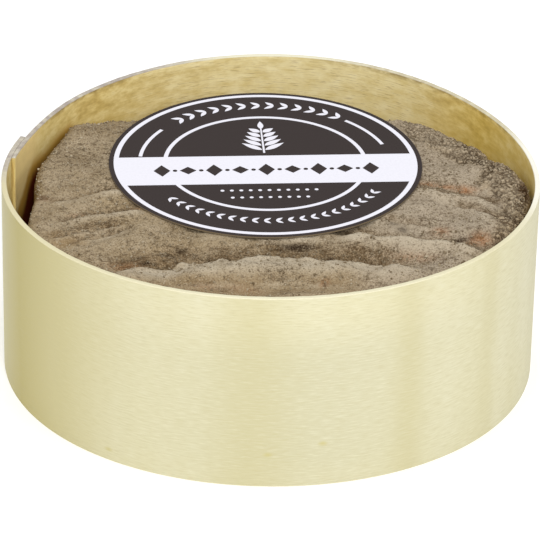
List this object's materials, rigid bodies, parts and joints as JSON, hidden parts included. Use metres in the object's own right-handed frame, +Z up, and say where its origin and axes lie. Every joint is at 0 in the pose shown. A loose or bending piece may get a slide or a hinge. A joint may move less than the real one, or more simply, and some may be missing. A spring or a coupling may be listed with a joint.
{
  "type": "ash-rind cheese in an open wooden case",
  "caption": "Round soft cheese with a wrinkled grey-brown ash rind, in a low open case of bent veneer, with a round dark card label lying on top.",
  "frame": {"origin": "middle of the case's foot, on the surface that it stands on", "axes": "+Z up through the cheese; +Y to the back, where the label lies further from the viewer; +X to the right; the lap of the veneer is on the left, at -X"},
  "size_m": [0.114, 0.1152, 0.0443],
  "materials": {
    "pale_wood": "bare peeled veneer, pale cream with a very fine level grain, more yellow inside",
    "board_wood": "bare sawn board, pale and dry",
    "ash_rind": "dry matte ash over a wrinkled rind, grey-brown with darker furrows and a few rusty patches",
    "label_card": "printed card with a slight sheen, near-black brown with white bands"
  },
  "bodies": {
    "root": {"case_hoop": "pale_wood", "case_board": "board_wood", "cheese": "ash_rind", "label": "label_card"}
  },
  "joints": []
}
